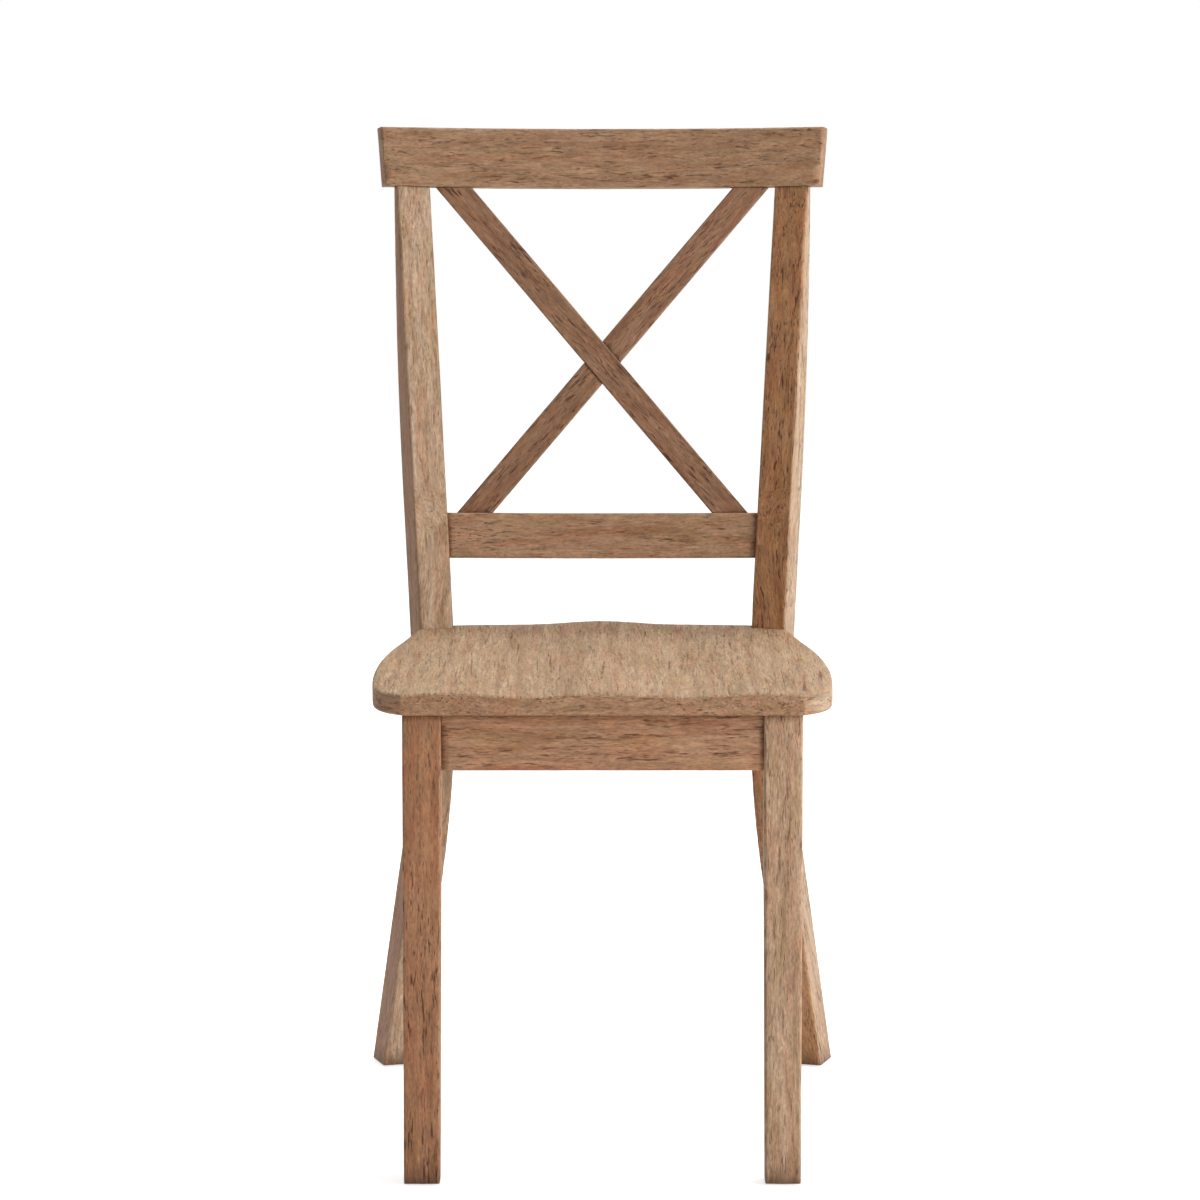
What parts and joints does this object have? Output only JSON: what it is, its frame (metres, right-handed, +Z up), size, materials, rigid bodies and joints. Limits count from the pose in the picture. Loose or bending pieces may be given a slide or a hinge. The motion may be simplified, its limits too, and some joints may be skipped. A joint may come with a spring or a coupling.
{
  "type": "cross back dining chair",
  "caption": "Wooden dining chair with a scooped seat, splayed back legs running up into posts, and crossed slats between a wide crest rail and a lower rail.",
  "frame": {"origin": "on the floor, under the middle of the whole chair in width and depth", "axes": "+Z up along the chair's height, +X to the right seen from in front, the sitter faces -Y"},
  "size_m": [0.4646, 0.5698, 0.9485],
  "materials": {
    "seat_wood": "washed and waxed, open pores along the grain",
    "leg_wood": "washed and waxed, open pores along the grain, rubbed edges",
    "apron_wood": "washed and waxed, open pores along the grain",
    "rail_wood": "washed and waxed, open pores along the grain, rubbed edges",
    "slat_wood": "washed and waxed, open pores along the grain",
    "block_wood": "bare planed hardwood",
    "dowel_wood": "bare turned beech",
    "screw_steel": "zinc plated",
    "glide_nylon": "moulded, scuffed"
  },
  "bodies": {
    "root": {"seat": "seat_wood", "front_leg_left": "leg_wood", "front_leg_right": "leg_wood", "back_leg_left": "leg_wood", "back_leg_right": "leg_wood", "front_apron": "apron_wood", "rear_apron": "apron_wood", "side_apron_left": "apron_wood", "side_apron_right": "apron_wood", "crest_rail": "rail_wood", "lower_back_rail": "rail_wood", "cross_slat_front": "slat_wood", "cross_slat_rear": "slat_wood", "corner_block_front_left": "block_wood", "corner_block_front_right": "block_wood", "corner_block_rear_left": "block_wood", "corner_block_rear_right": "block_wood", "front_apron_dowels": "dowel_wood", "rear_apron_dowels": "dowel_wood", "side_apron_dowels_left": "dowel_wood", "side_apron_dowels_right": "dowel_wood", "corner_block_screws": "screw_steel", "seat_screws": "screw_steel", "foot_glide_front_left": "glide_nylon", "foot_glide_front_right": "glide_nylon", "foot_glide_back_left": "glide_nylon", "foot_glide_back_right": "glide_nylon"}
  },
  "joints": []
}
